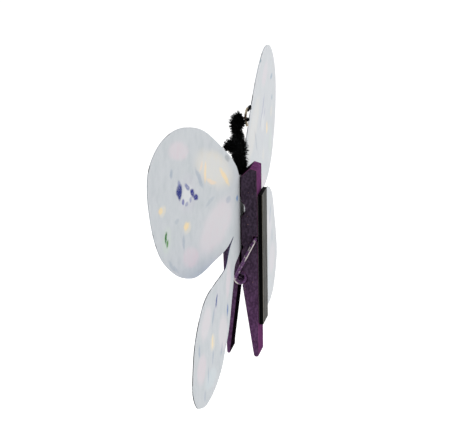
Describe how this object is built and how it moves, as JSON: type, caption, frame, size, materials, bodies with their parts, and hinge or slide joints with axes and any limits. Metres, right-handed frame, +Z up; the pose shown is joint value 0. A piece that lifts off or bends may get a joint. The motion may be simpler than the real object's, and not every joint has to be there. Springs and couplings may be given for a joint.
{
  "type": "butterfly clothes-peg magnet",
  "caption": "Spring clothes peg with a magnet strip on its back leg, holding a card butterfly and a chenille stem bent into antennae.",
  "frame": {"origin": "middle of the magnet strip's free face", "axes": "+Y out of the magnet face, +Z up the peg towards its jaws, +X across the peg to the side of the more folded wings"},
  "size_m": [0.1453, 0.0292, 0.1022],
  "materials": {
    "painted_wood": "purple acrylic paint on wood",
    "spring_steel": "purple paint rubbed through to bare steel",
    "magnet": "flexible magnet, satin",
    "adhesive": "clear adhesive film",
    "card": "uncoated white card with marker colours",
    "chenille": "black cut pile",
    "stem_wire": "thin twisted wire, dull"
  },
  "bodies": {
    "back_leg": {"back_leg": "painted_wood", "spring_back_half": "spring_steel", "magnet_strip": "magnet", "magnet_adhesive": "adhesive", "card_waist": "card", "chenille_anchor": "chenille"},
    "front_leg": {"front_leg": "painted_wood", "spring_front_half": "spring_steel"},
    "right_wings": {"right_upper_wing": "card", "right_lower_wing": "card"},
    "left_wings": {"left_upper_wing": "card", "left_lower_wing": "card"},
    "right_antenna": {"right_antenna_pile": "chenille", "right_antenna_core": "stem_wire"},
    "left_antenna": {"left_antenna_pile": "chenille", "left_antenna_core": "stem_wire", "left_antenna_wire_ends": "stem_wire"}
  },
  "joints": [
    {"name": "clip_open", "type": "hinge", "parent": "back_leg", "child": "front_leg", "pos_m": [0, -0.00835, -0.0074], "axis": [1, 0, 0], "range_deg": [0, 14], "stiffness_Nm_per_rad": 0.4, "springref_deg": -40.11},
    {"name": "right_wings_fold", "type": "hinge", "parent": "back_leg", "child": "right_wings", "pos_m": [0.005, -0.0085, 0.0176], "axis": [0, 0, -1], "range_deg": [-30, 30], "stiffness_Nm_per_rad": 0.003},
    {"name": "left_wings_fold", "type": "hinge", "parent": "back_leg", "child": "left_wings", "pos_m": [-0.005, -0.0085, 0.0176], "axis": [0, 0, 1], "range_deg": [-20, 45], "stiffness_Nm_per_rad": 0.003},
    {"name": "right_antenna_bend", "type": "hinge", "parent": "back_leg", "child": "right_antenna", "pos_m": [0.0021, -0.00895, 0.0357], "axis": [0, 1, 0], "range_deg": [-15, 5]},
    {"name": "left_antenna_bend", "type": "hinge", "parent": "back_leg", "child": "left_antenna", "pos_m": [-0.0021, -0.00905, 0.0357], "axis": [0, 1, 0], "range_deg": [-8, 15]}
  ]
}
